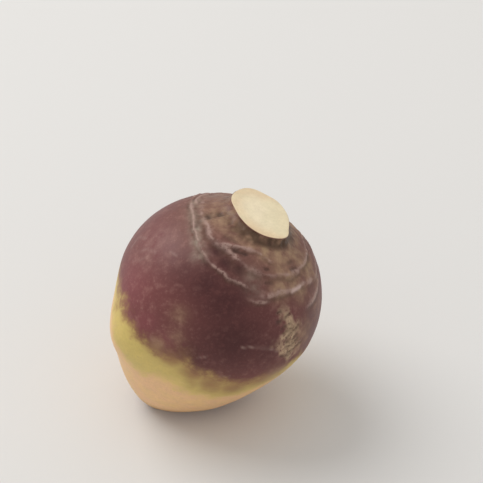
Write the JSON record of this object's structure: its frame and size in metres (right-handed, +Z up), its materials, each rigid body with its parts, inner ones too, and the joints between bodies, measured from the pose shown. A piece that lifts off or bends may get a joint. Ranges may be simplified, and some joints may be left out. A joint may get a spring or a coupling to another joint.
{
  "type": "swede turnip",
  "caption": "Whole swede turnip, topped at the crown and trimmed at the root, resting on its flat root end with its cut crown leaning up.",
  "frame": {"origin": "centre of the turnip's footprint box, on the surface it rests on", "axes": "+Z up, +X towards the side its cut crown leans to, -Y towards the front"},
  "size_m": [0.1174, 0.1146, 0.1312],
  "materials": {
    "turnip_skin": "waxy mottled purple skin over yellow-green and cream, with a pale cut crown"
  },
  "bodies": {
    "root": {"turnip": "turnip_skin"}
  },
  "joints": []
}
